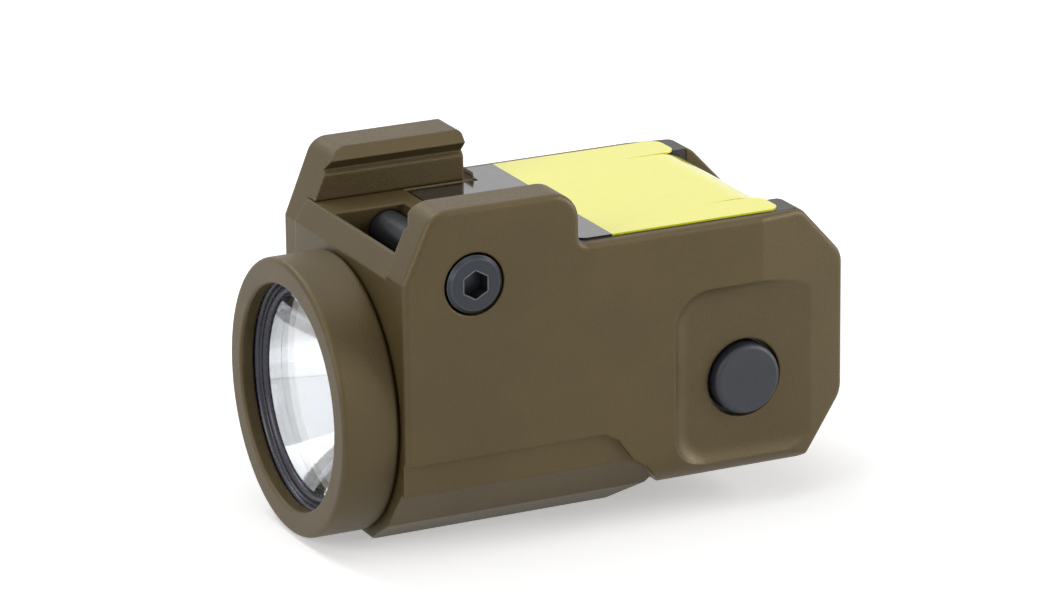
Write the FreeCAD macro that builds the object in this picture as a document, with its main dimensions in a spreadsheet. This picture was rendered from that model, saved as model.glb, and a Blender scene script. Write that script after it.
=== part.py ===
import FreeCAD, Part
import math
import os
import re

import Sketcher

# Compact rail-mounted weapon light, in millimetres.
# +X is the beam direction, +Y the side of the clamp screw's head, +Z up towards the rail.
# The origin is on the flat underside, midway between the bezel's front and the tail.

doc = FreeCAD.newDocument("WeaponLight")
sheet = doc.addObject("Spreadsheet::Sheet", "Sizes")

# Driving dimensions: plain numbers. Names that start with x_, y_ or z_ are places.
DRIVING = {
    # overall
    "body_len": 48.9, "body_width": 30.0, "axis_height": 14.2, "wall_top": 30.4,
    "ear_top": 35.9, "deck_top": 30.7, "tail_bottom": 3.7, "head_gap": 0.2,
    # side outline
    "lean_start": 29.0, "lean_run": 3.16, "ear_len": 18.9, "rear_slope_run": 5.1,
    "rear_slope_drop": 5.5, "knee_run": 4.85, "knee_rise": 6.5, "chin_len": 26.4,
    "chin_slope_run": 2.0, "deck_slope_run": 1.4, "deck_slope_drop": 2.1,
    "rim_round": 0.6, "taper_len": 9.9,
    "taper_depth": 1.66,
    # chin: two stepped cuts and a hull below them
    "step_depth": 0.6, "step_one_top": 10.6, "step_two_top": 7.3, "hull_mid_y": 10.4,
    "hull_mid_z": 3.1, "hull_flat_y": 5.1, "tail_round": 3.5, "step_one_len": 21.4,
    # head
    "bezel_dia": 28.0, "bezel_len": 5.9, "bezel_round": 0.5, "bezel_back_round": 0.4,
    "lip_wall": 2.6, "lip_round": 0.3, "lip_depth": 1.4,
    "bezel_wall": 1.6, "spigot_len": 3.5, "seal_thick": 1.2,
    "seal_lap": 1.3, "lens_thick": 1.2, "fit_gap": 0.1,
    "optic_wall": 1.6, "optic_len": 12.4, "optic_tail_dia": 7.4, "sink_thick": 3.0,
    "board_thick": 1.0, "emitter_side": 3.4, "emitter_thick": 0.8, "bulkhead": 2.0,
    # rear cavity and cover
    "side_wall": 2.6, "rear_wall": 5.0, "floor_thick": 2.0, "bay_top": 8.8,
    "bay_gap": 1.2, "cover_thick": 2.4,
    "cover_margin": 1.25, "cover_nose_width": 18.4, "cover_nose_len": 7.8, "cover_proud": 0.0,
    "gasket_thick": 0.4, "film_thick": 0.2, "horn_gap": 20.0, "roll_drop": 9.3,
    "column_dia": 3.8, "column_y": 5.5, "lug_len": 6.5, "thread_dia": 1.3, "thread_depth": 5.0,
    "small_screw_dia": 1.2, "small_head_dia": 2.8, "small_head_thick": 0.9,
    # clamp
    "jaw_len": 17.4, "jaw_thick": 4.0, "jaw_bottom": 22.4, "jaw_wall_y": 9.4,
    "ear_wall_y": 10.9, "vee_depth": 0.5, "lip_over": 0.5, "vee_z": 33.8, "vee_half": 1.0,
    "screw_back": 7.5, "screw_z": 28.2, "screw_dia": 4.0, "screw_head_dia": 5.86,
    "screw_head_len": 3.0, "screw_proud": 0.35, "hex_flats": 2.5, "hex_depth": 1.8,
    "head_hole_dia": 6.4, "run_gap": 0.08, "slot_back": 9.3, "slot_len": 7.6, "slot_y": 5.1,
    "slot_depth": 4.7, "slot_step_back": 4.4, "slot_step_depth": 3.2,
    "pin_dia": 2.0, "pin_len": 7.0, "pin_drop": 3.2,
    # buttons
    "button_x": -16.0, "button_z": 13.75, "button_dia": 7.2, "button_hole": 8.1,
    "button_flange": 8.6, "flange_thick": 0.7, "button_proud": 1.0, "button_round": 0.5,
    "recess_depth": 1.0, "recess_round": 4.4, "recess_blend": 2.4, "recess_front": -7.4,
    "recess_top": 24.3, "recess_bottom": 4.6,
    "seal_ring_dia": 9.4, "seal_ring_thick": 0.4,
    # inside the cavity
    "cell_len": 20.0, "cell_width": 16.0, "cell_thick": 9.0, "pad_thick": 0.8,
    "main_board_z": 18.3, "switch_board_thick": 0.8, "wire_dia": 0.9, "wire_y": 2.0,
    "port_x": -14.3, "port_dia": 9.0, "contact_dia": 1.8, "contact_pitch": 4.0,
}

# Derived places, worked out by the sheet from the driving dimensions.
DERIVED = {
    "half_w": "body_width / 2",
    "x_face": "(body_len - bezel_len - head_gap) / 2",
    "x_tail": "x_face - body_len",
    "x_bezel": "x_face + head_gap",
    "x_lip": "x_bezel + bezel_len",
    "x_ear": "x_face - ear_len",
    "screw_x": "x_face - screw_back",
    "slot_x": "x_face - slot_back",
    "slot_step_x": "x_face - slot_step_back",
    "cover_width": "body_width - 2 * cover_margin",
    "bezel_bore": "bezel_dia - 2 * bezel_wall",
    "lip_bore": "bezel_dia - 2 * lip_wall",
    "spigot_dia": "bezel_bore - fit_gap",
    "head_bore": "bezel_bore + 2 * fit_gap",
    "seal_bore": "lip_bore - 2 * seal_lap",
    "optic_bore": "bezel_bore - 2 * optic_wall",
    "x_cover": "x_ear - 2 * fit_gap",
    "x_nose": "x_cover + cover_nose_len",
    "x_lens": "x_lip - lip_depth - seal_thick - lens_thick",
    "x_optic": "x_lens - optic_len",
    "x_sink": "x_optic - board_thick - emitter_thick + 0.2 - sink_thick",
    "x_cavity": "x_sink - bulkhead",
    "x_cavity_end": "x_tail + rear_wall",
    "x_cover_end": "x_cavity_end + 0.6",
    "y_cavity": "half_w - side_wall",
    "z_floor": "tail_bottom + floor_thick",
    "z_ledge": "wall_top - cover_thick",
    "z_seat": "z_ledge - gasket_thick",
    "z_cover": "wall_top + cover_proud",
    "y_seam": "half_w - jaw_thick",
    "x_jaw": "x_face - 0.5",
    "x_jaw_end": "x_jaw - jaw_len",
    "y_recess": "half_w - recess_depth",
    "y_flange": "y_cavity",
    "z_cell": "z_floor + pad_thick",
    "x_cell": "x_cavity_end + column_dia + 0.4",
    "x_ramp": "x_face - chin_len",
}


def fill_sheet():
    row = 1
    for alias, value in DRIVING.items():
        sheet.set(f"A{row}", alias)
        sheet.set(f"B{row}", str(value))
        sheet.setAlias(f"B{row}", alias)
        row += 1
    for alias, formula in DERIVED.items():
        sheet.set(f"A{row}", alias)
        sheet.set(f"B{row}", "=" + formula)
        sheet.setAlias(f"B{row}", alias)
        row += 1
    doc.recompute()


fill_sheet()


def size(alias):
    """A cell's number."""
    return float(getattr(sheet, alias))


def cell(text):
    """An expression on sheet names, with the sheet's prefix put before each name."""
    return re.sub(r"\b([a-z][a-z_]+)\b", r"Sizes.\1", str(text))


# ---------------------------------------------------------------- PartDesign helpers

def body(label):
    made = doc.addObject("PartDesign::Body", label.title().replace("_", ""))
    made.Label = label
    return made


def sketch(owner, role, offset="0"):
    """An empty sketch on one of the body's own origin planes, moved along its normal."""
    made = owner.newObject("Sketcher::SketchObject", "Sketch")
    plane = next(f for f in owner.Origin.OriginFeatures if f.Role == role)
    made.AttachmentSupport = [(plane, "")]
    made.MapMode = "FlatFace"
    made.setExpression("AttachmentOffset.Base.z", cell(offset))
    return made


def place(drawn, axis, geometry, vertex, text):
    """Ties one coordinate of a vertex to an expression on the sheet."""
    if str(text) == "0":
        line = -2 if axis == "DistanceX" else -1
        drawn.addConstraint(Sketcher.Constraint("PointOnObject", geometry, vertex, line))
        return
    index = drawn.addConstraint(Sketcher.Constraint(axis, -1, 1, geometry, vertex, 1.0))
    drawn.setExpression(f"Constraints[{index}]", cell(text))


def outline(drawn, points):
    """A closed polygon whose corners are pairs of expressions."""
    first = drawn.GeometryCount
    count = len(points)
    angles = [2 * math.pi * i / count for i in range(count + 1)]
    for i in range(count):
        start = FreeCAD.Vector(math.cos(angles[i]), math.sin(angles[i]), 0)
        end = FreeCAD.Vector(math.cos(angles[i + 1]), math.sin(angles[i + 1]), 0)
        drawn.addGeometry(Part.LineSegment(start, end))
    for i in range(count):
        following = first + (i + 1) % count
        drawn.addConstraint(Sketcher.Constraint("Coincident", first + i, 2, following, 1))
    for i, (across, up) in enumerate(points):
        place(drawn, "DistanceX", first + i, 1, across)
        place(drawn, "DistanceY", first + i, 1, up)


def rectangle(drawn, low, high, left, right):
    """A rectangle from (low, left) to (high, right)."""
    outline(drawn, [(low, left), (high, left), (high, right), (low, right)])


def circle(drawn, across, up, dia):
    index = drawn.addGeometry(Part.Circle(FreeCAD.Vector(1, 1, 0), FreeCAD.Vector(0, 0, 1), 1))
    place(drawn, "DistanceX", index, 3, across)
    place(drawn, "DistanceY", index, 3, up)
    held = drawn.addConstraint(Sketcher.Constraint("Diameter", index, 1.0))
    drawn.setExpression(f"Constraints[{held}]", cell(dia))


def feature(owner, kind, drawn, length, reverse=False, both=False):
    made = owner.newObject("PartDesign::" + kind, kind)
    made.Profile = drawn
    made.setExpression("Length", cell(length))
    made.Reversed = reverse
    if both:
        made.SideType = "Symmetric"
    doc.recompute()
    return made


def pad(owner, drawn, length, reverse=False, both=False):
    return feature(owner, "Pad", drawn, length, reverse, both)


def pocket(owner, drawn, length, reverse=False, both=False):
    """A cut that has to take something away."""
    before = owner.Shape.Volume
    made = feature(owner, "Pocket", drawn, length, reverse, both)
    if owner.Shape.Volume > before - 1e-6:
        raise RuntimeError(f"a pocket of {owner.Label} cuts nothing")
    return made


def turned(owner, points):
    """A solid of revolution about the beam axis from (x, radius) corners."""
    drawn = sketch(owner, "XZ_Plane")
    outline(drawn, [(across, f"({radius}) + axis_height") for across, radius in points])
    axis = drawn.addGeometry(Part.LineSegment(FreeCAD.Vector(0, 1, 0), FreeCAD.Vector(9, 1, 0)), True)
    drawn.addConstraint(Sketcher.Constraint("Horizontal", axis))
    place(drawn, "DistanceY", axis, 1, "axis_height")
    place(drawn, "DistanceX", axis, 1, "0")
    place(drawn, "DistanceX", axis, 2, "9")
    made = owner.newObject("PartDesign::Revolution", "Revolution")
    made.Profile = drawn
    made.ReferenceAxis = (drawn, ["Axis0"])
    made.Angle = 360
    doc.recompute()
    return made


def soften(owner, kind, amount, test):
    """Rounds or bevels the edges of the body so far that pass the test."""
    names = [f"Edge{i + 1}" for i, edge in enumerate(owner.Shape.Edges) if test(edge)]
    if not names:
        raise RuntimeError(f"no edge to soften on {owner.Label}")
    base = owner.Tip
    made = owner.newObject("PartDesign::" + kind, kind)
    made.Base = (base, names)
    made.setExpression("Radius" if kind == "Fillet" else "Size", cell(amount))
    doc.recompute()
    if "Invalid" in made.State:
        raise RuntimeError(f"{kind} {amount} of {owner.Label} fails: {made.getStatusString()}")
    return made


def near(value, target, slack=0.02):
    return abs(value - target) < slack


def along_y(edge, across, up):
    """Whether an edge runs along Y through the point (across, up) of the XZ plane."""
    box = edge.BoundBox
    flat = box.XLength < 0.01 and box.ZLength < 0.01
    return flat and near(box.XMin, across, 0.05) and near(box.ZMin, up, 0.05)


# ---------------------------------------------------------------- Part helpers

def bound(made, label, **sizes):
    """Ties a primitive's properties to the sheet and names it."""
    made.Label = label
    for name, text in sizes.items():
        made.setExpression(name.replace("__", "."), cell(text))
    return made


def block(label, low, high):
    """A box between two corners given as expressions."""
    made = doc.addObject("Part::Box", "Box")
    bound(made, label, Length=f"{high[0]} - ({low[0]})", Width=f"{high[1]} - ({low[1]})",
          Height=f"{high[2]} - ({low[2]})")
    for axis, text in zip("xyz", low):
        made.setExpression(f"Placement.Base.{axis}", cell(text))
    return made


TURNS = {"X": (FreeCAD.Vector(0, 1, 0), 90), "Y": (FreeCAD.Vector(1, 0, 0), -90),
         "Z": (FreeCAD.Vector(0, 0, 1), 0)}


def rod(label, axis, start, dia, length):
    """A cylinder from a start point along +X, +Y or +Z."""
    made = doc.addObject("Part::Cylinder", "Cylinder")
    turn_axis, angle = TURNS[axis]
    made.Placement = FreeCAD.Placement(FreeCAD.Vector(), FreeCAD.Rotation(turn_axis, angle))
    bound(made, label, Radius=f"({dia}) / 2", Height=length)
    for letter, text in zip("xyz", start):
        made.setExpression(f"Placement.Base.{letter}", cell(text))
    return made


def minus(label, base, tool):
    made = doc.addObject("Part::Cut", "Cut")
    made.Base = base
    made.Tool = tool
    made.Label = label
    return made


def union(label, pieces):
    made = doc.addObject("Part::MultiFuse", "Fusion")
    made.Shapes = pieces
    made.Label = label
    return made


def group(label, pieces):
    """Identical or related small solids that share one node."""
    made = doc.addObject("Part::Compound", "Group")
    made.Links = pieces
    made.Label = label
    return made


def ring(label, axis, start, outer, inner, length):
    return minus(label, rod("outer", axis, start, outer, length),
                 rod("inner", axis, start, inner, length))


NODES = []


def node(made):
    NODES.append(made)
    return made


SIDES = {"left": 1, "right": -1}


# ---------------------------------------------------------------- the housing

def housing_outline(owner):
    """The side outline, drawn on the XZ plane and padded over the full width."""
    drawn = sketch(owner, "XZ_Plane")
    outline(drawn, [
        ("x_face", "0"),
        ("x_face", "lean_start"),
        ("x_face - lean_run", "ear_top"),
        ("x_ear", "ear_top"),
        ("x_ear", "wall_top"),
        ("x_tail + rear_slope_run", "wall_top"),
        ("x_tail", "wall_top - rear_slope_drop"),
        ("x_tail", "tail_bottom + knee_rise"),
        ("x_tail + knee_run", "tail_bottom"),
        ("x_ramp - chin_slope_run", "tail_bottom"),
        ("x_ramp", "0"),
    ])
    pad(owner, drawn, "body_width", both=True)


def housing_corners(owner):
    """Rounds the outline's corners, each an edge along Y."""
    rounds = [
        ("2.4", size("x_face") - size("lean_run"), size("ear_top")),
        ("2.8", size("x_ear"), size("ear_top")),
        ("1.0", size("x_ear"), size("wall_top")),
        ("1.6", size("x_tail") + size("rear_slope_run"), size("wall_top")),
        ("2.6", size("x_tail"), size("wall_top") - size("rear_slope_drop")),
        ("3.0", size("x_tail"), size("tail_bottom") + size("knee_rise")),
        ("3.0", size("x_tail") + size("knee_run"), size("tail_bottom")),
        ("1.2", size("x_face"), 0.0),
    ]
    for radius, across, up in rounds:
        soften(owner, "Fillet", radius, lambda e, a=across, u=up: along_y(e, a, u))


def housing_taper(owner):
    """The sides draw in towards the tail."""
    drawn = sketch(owner, "XY_Plane")
    for sign in ("", "-"):
        outline(drawn, [
            ("x_tail + taper_len", f"{sign}half_w"),
            ("x_tail - taper_len", f"{sign}(half_w - 2 * taper_depth)"),
            ("x_tail - taper_len", f"{sign}(half_w + 1)"),
            ("x_tail + taper_len", f"{sign}(half_w + 1)"),
        ])
    pocket(owner, drawn, "ear_top + 1", reverse=True)


def on_side(edge):
    """Whether an edge lies on a side face, the tapered stretch included."""
    half, start = size("half_w"), size("x_tail") + size("taper_len")
    slope = size("taper_depth") / size("taper_len")
    for t in (0.0, 0.5, 1.0):
        first, last = edge.ParameterRange
        point = edge.valueAt(first + t * (last - first))
        wanted = half - max(0.0, start - point.x) * slope
        if not near(abs(point.y), wanted, 0.01):
            return False
    return abs(edge.BoundBox.XLength) > 0.01 or not near(edge.BoundBox.XMin, start, 0.01)


def housing_tail_rounds(owner):
    """Large rounds along the two bottom edges of the tail, cut as corner pieces."""
    drawn = sketch(owner, "YZ_Plane", "x_tail - 1")
    for sign in (1, -1):
        mark = "" if sign > 0 else "-"
        corner = (f"{mark}(half_w + 1)", "tail_bottom - 1")
        inner = (f"{mark}(half_w - tail_round)", "tail_bottom - 1")
        foot = (f"{mark}(half_w - tail_round)", "tail_bottom")
        side = (f"{mark}half_w", "tail_bottom + tail_round")
        outside = (f"{mark}(half_w + 1)", "tail_bottom + tail_round")
        first = drawn.GeometryCount
        straight = [(foot, inner), (inner, corner), (corner, outside), (outside, side)]
        for i, (start, end) in enumerate(straight):
            drawn.addGeometry(Part.LineSegment(FreeCAD.Vector(i, 0, 0), FreeCAD.Vector(i + 1, 1, 0)))
            place(drawn, "DistanceX", first + i, 1, start[0])
            place(drawn, "DistanceY", first + i, 1, start[1])
            place(drawn, "DistanceX", first + i, 2, end[0])
            place(drawn, "DistanceY", first + i, 2, end[1])
        radius, half, low = size("tail_round"), size("half_w"), size("tail_bottom")
        centre = FreeCAD.Vector(sign * (half - radius), low + radius, 0)
        turn = (1.5 * math.pi, 2 * math.pi) if sign > 0 else (math.pi, 1.5 * math.pi)
        arc = Part.ArcOfCircle(Part.Circle(centre, FreeCAD.Vector(0, 0, 1), radius), *turn)
        index = drawn.addGeometry(arc)
        foot_end, side_end = (1, 2) if sign > 0 else (2, 1)
        drawn.addConstraint(Sketcher.Constraint("Coincident", index, foot_end, first, 1))
        drawn.addConstraint(Sketcher.Constraint("Coincident", index, side_end, first + 3, 2))
        held = drawn.addConstraint(Sketcher.Constraint("Radius", index, radius))
        drawn.setExpression(f"Constraints[{held}]", cell("tail_round"))
    pocket(owner, drawn, "x_ramp + 3 - x_tail + 1", reverse=True)


def housing_deck(owner):
    """Clears the deck between the rail walls and the room that the clamp jaw slides in."""
    drawn = sketch(owner, "YZ_Plane", "x_ear")
    outline(drawn, [
        ("ear_wall_y", "deck_top"),
        ("ear_wall_y", "vee_z - vee_depth"),
        ("ear_wall_y + vee_depth", "vee_z"),
        ("ear_wall_y - lip_over", "vee_z + vee_half"),
        ("ear_wall_y - lip_over", "ear_top - 0.8"),
        ("ear_wall_y", "ear_top + 1"),
        ("-(half_w + 1)", "ear_top + 1"),
        ("-(half_w + 1)", "deck_top"),
    ])
    pocket(owner, drawn, "ear_len + 1", reverse=True)
    clear = sketch(owner, "XZ_Plane", "y_seam - fit_gap / 2")
    rectangle(clear, "x_jaw_end - fit_gap", "x_face + 1", "jaw_bottom - fit_gap", "ear_top")
    pocket(owner, clear, "jaw_thick + 2", reverse=True)


def housing_front_slope(owner):
    """The deck's front edge slopes down to the face."""
    drawn = sketch(owner, "XZ_Plane", "y_seam")
    outline(drawn, [
        ("x_face - deck_slope_run", "deck_top"),
        ("x_face", "deck_top - deck_slope_drop"),
        ("x_face + 1", "deck_top - deck_slope_drop"),
        ("x_face + 1", "deck_top + 1"), ("x_face - deck_slope_run", "deck_top + 1"),
    ])
    pocket(owner, drawn, "y_seam + ear_wall_y")


def housing_head_bores(owner):
    """Stepped bore for the head: bezel spigot, optic and LED board."""
    for name, dia, depth in [
        ("spigot", "head_bore", "spigot_len + 0.2"),
        ("optic", "optic_bore + 2 * fit_gap", "x_face - x_sink"),
    ]:
        drawn = sketch(owner, "YZ_Plane", "x_face")
        circle(drawn, "0", "axis_height", dia)
        pocket(owner, drawn, depth)


def housing_cavity(owner):
    """Room for the cell and the boards, with the seat of the cover above it."""
    room = sketch(owner, "XY_Plane", "z_seat")
    rectangle(room, "x_cavity_end", "x_cavity", "-y_cavity", "y_cavity")
    pocket(owner, room, "z_seat - bay_top")
    bay = sketch(owner, "XY_Plane", "bay_top")
    rectangle(bay, "x_cavity_end", "x_cavity", "-(cell_width / 2 + bay_gap)",
              "cell_width / 2 + bay_gap")
    pocket(owner, bay, "bay_top - z_floor")
    seat = sketch(owner, "XY_Plane", "ear_top")
    rectangle(seat, "x_cover_end - fit_gap", "x_cover + fit_gap", "-(cover_width / 2 + fit_gap)",
              "cover_width / 2 + fit_gap")
    pocket(owner, seat, "ear_top - z_seat")
    nose = sketch(owner, "XY_Plane", "ear_top")
    rectangle(nose, "x_cover - 1", "x_nose + fit_gap",
              "-(cover_nose_width / 2 + fit_gap)", "cover_nose_width / 2 + fit_gap")
    pocket(owner, nose, "ear_top - z_seat")
    horns = sketch(owner, "XY_Plane", "ear_top")
    rectangle(horns, "x_tail - 1", "x_cavity_end + 1", "-horn_gap / 2", "horn_gap / 2")
    pocket(owner, horns, "ear_top - wall_top + roll_drop")


REACH = "column_dia / 2"
COLUMNS = [(across, f"{sign}({along})")
           for across, along in ((f"x_cavity_end + {REACH}", "column_y"),
                                 (f"x_cavity - {REACH}", f"y_cavity - {REACH}"))
           for sign in ("", "-")]
LUGS = [(across, f"{sign}(y_cavity - {REACH})")
        for across in ("x_cavity_end + 6.5", "x_ear - 3.4") for sign in ("", "-")]


def housing_columns(owner):
    """Four columns carry the main board, and four lugs take the cover's screws."""
    columns = sketch(owner, "XY_Plane", "z_floor - 0.5")
    for across, along in COLUMNS:
        circle(columns, across, along, "column_dia + 0.4")
    pad(owner, columns, "main_board_z - z_floor + 0.5")
    lugs = sketch(owner, "XY_Plane", "z_seat")
    for across, along in LUGS:
        circle(lugs, across, along, "column_dia + 0.4")
    pad(owner, lugs, "lug_len", reverse=True)
    for places, top in ((COLUMNS, "main_board_z"), (LUGS, "z_seat")):
        holes = sketch(owner, "XY_Plane", top)
        for across, along in places:
            circle(holes, across, along, "thread_dia")
        pocket(owner, holes, "thread_depth")


def housing_button_holes(owner):
    """A hole for each button, with a counterbore inside for its seal."""
    hole = sketch(owner, "XZ_Plane")
    circle(hole, "button_x", "button_z", "button_hole")
    pocket(owner, hole, "body_width + 2", both=True)
    counter = sketch(owner, "XZ_Plane")
    circle(counter, "button_x", "button_z", "seal_ring_dia + 2 * fit_gap")
    pocket(owner, counter, "2 * (y_cavity + seal_ring_thick + fit_gap)", both=True)


def round_hole(edge):
    return isinstance(edge.Curve, Part.Circle) and edge.isClosed()


def housing_screw_way(owner):
    """The cross hole for the clamp screw, its head's counterbore, and the slot on the deck."""
    way = sketch(owner, "XZ_Plane")
    circle(way, "screw_x", "screw_z", "screw_dia + 2 * run_gap")
    pocket(owner, way, "body_width + 2", both=True)
    mouth = sketch(owner, "XZ_Plane", "-half_w - 1")
    circle(mouth, "screw_x", "screw_z", "head_hole_dia")
    pocket(owner, mouth, "screw_head_len - screw_proud + 1 + fit_gap", reverse=True)
    for end, depth in (("slot_step_x", "slot_depth"), ("slot_x + slot_len", "slot_step_depth")):
        slot = sketch(owner, "XY_Plane", "deck_top")
        rectangle(slot, "slot_x", end, "-slot_y", "ear_wall_y")
        pocket(owner, slot, depth)
    pins = sketch(owner, "XZ_Plane", "y_seam + 1")
    for across in PIN_PLACES:
        circle(pins, across, "jaw_bottom + pin_drop", "pin_dia")
    pocket(owner, pins, "pin_len - jaw_thick + 1.3")


PIN_PLACES = ("x_jaw - 1.9", "x_jaw_end + 2.1")


def recess_tool(side):
    """What the finger recess takes from one side: a block with a round-edged nose."""
    mark = "" if side > 0 else "-"
    owner = body("recess_tool")
    drawn = sketch(owner, "XZ_Plane", f"-({mark}y_recess)")
    rectangle(drawn, "x_tail - 8", "recess_front", "recess_bottom", "recess_top")
    pad(owner, drawn, "recess_depth + 3", reverse=side > 0)

    def upright(edge):
        box = edge.BoundBox
        return box.XLength < 0.01 and box.ZLength < 0.01

    def foot(edge):
        box = edge.BoundBox
        return box.YLength < 0.01 and near(abs(box.YMin), size("y_recess"))

    soften(owner, "Fillet", "recess_round", upright)
    soften(owner, "Fillet", "recess_blend", foot)
    return owner


def step_tool(side):
    """What the upper stepped cut takes from one side."""
    mark = "" if side > 0 else "-"
    owner = body("step_tool")
    drawn = sketch(owner, "XZ_Plane", f"-({mark}(half_w - step_depth))")
    outline(drawn, [
        ("x_face + 1", "step_one_top"), ("x_face - step_one_len", "step_one_top"),
        ("x_face - step_one_len - 1.5", "step_one_top - 0.8"),
        ("x_face - step_one_len - 3.3", "step_one_top - 3.2"),
        ("x_face - step_one_len - 4.9", "step_one_top - 4.2"),
        ("x_face - step_one_len - 6", "step_one_top - 5.6"),
        ("x_ramp - 3", "-1"), ("x_face + 1", "-1"),
    ])
    pad(owner, drawn, "step_depth + 3", reverse=side > 0)
    return owner


def hull_tool(side):
    """What the lower cut takes: all outside the hull's section, up to its slanted end."""
    mark = "" if side > 0 else "-"
    section = body("hull_section")
    drawn = sketch(section, "YZ_Plane", "x_ramp - 8")
    outline(drawn, [
        (f"{mark}(half_w - 2 * step_depth)", "step_two_top"),
        (f"{mark}hull_mid_y", "hull_mid_z"), (f"{mark}hull_flat_y", "0"),
        (f"{mark}hull_flat_y", "-1"), (f"{mark}(half_w + 1)", "-1"),
        (f"{mark}(half_w + 1)", "step_two_top"),
    ])
    pad(section, drawn, "chin_len + 12")
    extent = body("hull_extent")
    region = sketch(extent, "XZ_Plane")
    outline(region, [
        ("x_face + 1", "step_two_top"), ("x_face - step_one_len - 2.1", "step_two_top"),
        ("x_face - step_one_len - 4.3", "step_two_top - 0.7"),
        ("x_ramp - chin_slope_run - 0.1", "tail_bottom"),
        ("x_ramp - chin_slope_run - 0.6", "-1"), ("x_face + 1", "-1"),
    ])
    pad(extent, region, "body_width + 4", both=True)
    shared = doc.addObject("Part::Common", "HullTool")
    shared.Base = section
    shared.Tool = extent
    return shared


def make_housing():
    owner = body("housing_shell")
    housing_outline(owner)
    housing_corners(owner)
    housing_taper(owner)
    soften(owner, "Fillet", "rim_round", on_side)
    housing_tail_rounds(owner)
    housing_deck(owner)
    housing_front_slope(owner)
    housing_head_bores(owner)
    housing_cavity(owner)
    housing_columns(owner)
    housing_button_holes(owner)
    housing_screw_way(owner)
    leads = sketch(owner, "YZ_Plane", "x_sink + 1")
    for sign in ("", "-"):
        circle(leads, f"{sign}wire_y", LEAD_Z, "wire_dia + 0.4")
    pocket(owner, leads, "bulkhead + 2")
    port = sketch(owner, "XY_Plane", "z_floor + 1")
    circle(port, "port_x", "0", "port_dia + 2 * fit_gap")
    pocket(owner, port, "floor_thick + 2")
    tools = [tool(side) for tool in (recess_tool, step_tool, hull_tool) for side in (1, -1)]
    tool = union("side_cuts", tools)
    doc.recompute()
    return node(minus("housing", owner, tool))


LEAD_Z = "main_board_z + board_thick + wire_dia / 2 + 0.05"

make_housing()


# ---------------------------------------------------------------- the head

def make_bezel():
    """Front ring with an inner lip, and behind it the spigot that screws into the housing."""
    owner = body("bezel_ring")
    turned(owner, [
        ("x_lip", "lip_bore / 2"), ("x_lip", "bezel_dia / 2"), ("x_bezel", "bezel_dia / 2"),
        ("x_bezel", "spigot_dia / 2"),
        ("x_bezel - 0.9", "spigot_dia / 2"), ("x_bezel - 0.9", "spigot_dia / 2 - 0.75"),
        ("x_bezel - 2", "spigot_dia / 2 - 0.75"), ("x_bezel - 2", "spigot_dia / 2"),
        ("x_bezel - spigot_len", "spigot_dia / 2"), ("x_bezel - spigot_len", "optic_bore / 2"),
        ("x_bezel + 0.9", "optic_bore / 2"), ("x_bezel + 0.9", "bezel_bore / 2"),
        ("x_lip - lip_depth", "bezel_bore / 2"), ("x_lip - lip_depth", "lip_bore / 2"),
    ])

    def rim(place, dia):
        def found(edge):
            box = edge.BoundBox
            return box.XLength < 0.01 and near(box.XMin, size(place)) and near(box.YLength, size(dia))
        return found

    soften(owner, "Fillet", "bezel_round", rim("x_lip", "bezel_dia"))
    soften(owner, "Fillet", "bezel_back_round", rim("x_bezel", "bezel_dia"))
    soften(owner, "Fillet", "lip_round", rim("x_lip", "lip_bore"))
    return node(owner)


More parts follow.
